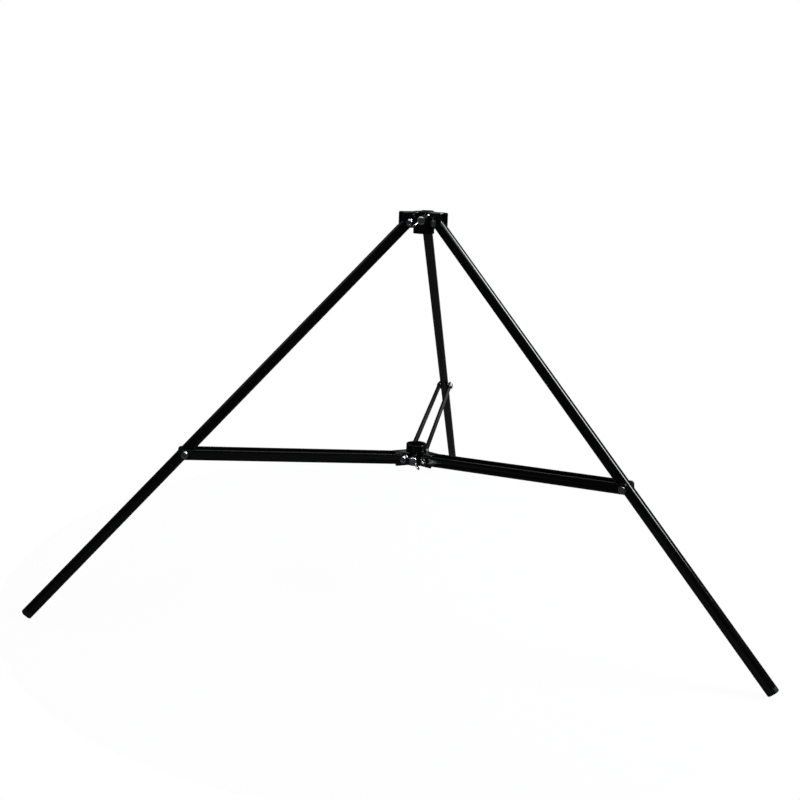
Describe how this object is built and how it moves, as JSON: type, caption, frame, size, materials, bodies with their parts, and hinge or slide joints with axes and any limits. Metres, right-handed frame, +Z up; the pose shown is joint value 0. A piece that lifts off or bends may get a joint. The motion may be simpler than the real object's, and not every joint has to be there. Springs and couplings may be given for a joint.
{
  "type": "folding mast stand",
  "caption": "Folding steel mast stand: legs and flat struts hinged on two sliding collars clamped with wing screws.",
  "frame": {"origin": "middle of the upper collar's bore, level with the bolts that the legs hang from", "axes": "+Z up the mast, +Y towards the rear leg, -Y towards the wing screws"},
  "size_m": [1.308, 1.1348, 0.7277],
  "materials": {
    "collar_paint": "gloss black stoved paint on steel",
    "leg_paint": "gloss black stoved paint on steel tube",
    "strut_paint": "gloss black stoved paint on flat steel",
    "bolt_plating": "bright zinc plating",
    "wing_screw_plating": "bright nickel plating",
    "foot_plastic": "moulded black plastic"
  },
  "bodies": {
    "upper_collar": {"upper_collar_tube": "collar_paint", "upper_screw_boss": "collar_paint", "upper_bracket_left": "collar_paint", "upper_bracket_right": "collar_paint", "upper_bracket_rear": "collar_paint", "upper_bolt_left": "bolt_plating", "upper_bolt_right": "bolt_plating", "upper_bolt_rear": "bolt_plating", "upper_locknut_left": "bolt_plating", "upper_locknut_right": "bolt_plating", "upper_locknut_rear": "bolt_plating"},
    "lower_collar": {"lower_collar_tube": "collar_paint", "lower_screw_boss": "collar_paint", "lower_bracket_left": "collar_paint", "lower_bracket_right": "collar_paint", "lower_bracket_rear": "collar_paint", "lower_bolt_left": "bolt_plating", "lower_bolt_right": "bolt_plating", "lower_bolt_rear": "bolt_plating", "lower_locknut_left": "bolt_plating", "lower_locknut_right": "bolt_plating", "lower_locknut_rear": "bolt_plating"},
    "upper_wing_screw": {"upper_wing_screw": "wing_screw_plating"},
    "lower_wing_screw": {"lower_wing_screw": "wing_screw_plating"},
    "leg_left": {"leg_tube_left": "leg_paint", "foot_plug_left": "foot_plastic", "leg_spacers_left": "bolt_plating", "strut_bolt_shank_left": "bolt_plating"},
    "leg_right": {"leg_tube_right": "leg_paint", "foot_plug_right": "foot_plastic", "leg_spacers_right": "bolt_plating", "strut_bolt_shank_right": "bolt_plating"},
    "leg_rear": {"leg_tube_rear": "leg_paint", "foot_plug_rear": "foot_plastic", "leg_spacers_rear": "bolt_plating", "strut_bolt_shank_rear": "bolt_plating"},
    "strut_left": {"strut_bar_a_left": "strut_paint", "strut_bar_b_left": "strut_paint", "strut_bolt_ends_left": "bolt_plating", "strut_locknut_left": "bolt_plating"},
    "strut_right": {"strut_bar_a_right": "strut_paint", "strut_bar_b_right": "strut_paint", "strut_bolt_ends_right": "bolt_plating", "strut_locknut_right": "bolt_plating"},
    "strut_rear": {"strut_bar_a_rear": "strut_paint", "strut_bar_b_rear": "strut_paint", "strut_bolt_ends_rear": "bolt_plating", "strut_locknut_rear": "bolt_plating"}
  },
  "joints": [
    {"name": "lower_collar_slide", "type": "slide", "parent": "upper_collar", "child": "lower_collar", "axis": [0, 0, -1], "range_m": [0, 0.56424]},
    {"name": "leg_fold_left", "type": "hinge", "parent": "upper_collar", "child": "leg_left", "pos_m": [-0.02901, -0.01675, 0], "axis": [0.5, -0.866, 0], "range_deg": [0, 43.5]},
    {"name": "leg_fold_right", "type": "hinge", "parent": "upper_collar", "child": "leg_right", "pos_m": [0.02901, -0.01675, 0], "axis": [0.5, 0.866, 0], "range_deg": [0, 43.5]},
    {"name": "leg_fold_rear", "type": "hinge", "parent": "upper_collar", "child": "leg_rear", "pos_m": [0, 0.0335, 0], "axis": [-1, 0, 0], "range_deg": [0, 43.5]},
    {"name": "strut_fold_left", "type": "hinge", "parent": "lower_collar", "child": "strut_left", "pos_m": [-0.02901, -0.01675, -0.4615], "axis": [-0.5, 0.866, 0], "range_deg": [0, 81.54]},
    {"name": "strut_fold_right", "type": "hinge", "parent": "lower_collar", "child": "strut_right", "pos_m": [0.02901, -0.01675, -0.4615], "axis": [-0.5, -0.866, 0], "range_deg": [0, 81.54]},
    {"name": "strut_fold_rear", "type": "hinge", "parent": "lower_collar", "child": "strut_rear", "pos_m": [0, 0.0335, -0.4615], "axis": [1, 0, 0], "range_deg": [0, 81.54]},
    {"name": "upper_screw_turn", "type": "hinge", "parent": "upper_collar", "child": "upper_wing_screw", "pos_m": [0, -0.03, 0.0055], "axis": [0, -1, 0], "continuous": true},
    {"name": "lower_screw_turn", "type": "hinge", "parent": "lower_collar", "child": "lower_wing_screw", "pos_m": [0, -0.03, -0.4605], "axis": [0, -1, 0], "continuous": true}
  ],
  "couplings": [
    {"joint": "leg_fold_left", "follows": "lower_collar_slide", "rad_per_m": 1.3455},
    {"joint": "leg_fold_right", "follows": "lower_collar_slide", "rad_per_m": 1.3455},
    {"joint": "leg_fold_rear", "follows": "lower_collar_slide", "rad_per_m": 1.3455},
    {"joint": "strut_fold_left", "follows": "lower_collar_slide", "rad_per_m": 2.5221},
    {"joint": "strut_fold_right", "follows": "lower_collar_slide", "rad_per_m": 2.5221},
    {"joint": "strut_fold_rear", "follows": "lower_collar_slide", "rad_per_m": 2.5221}
  ]
}
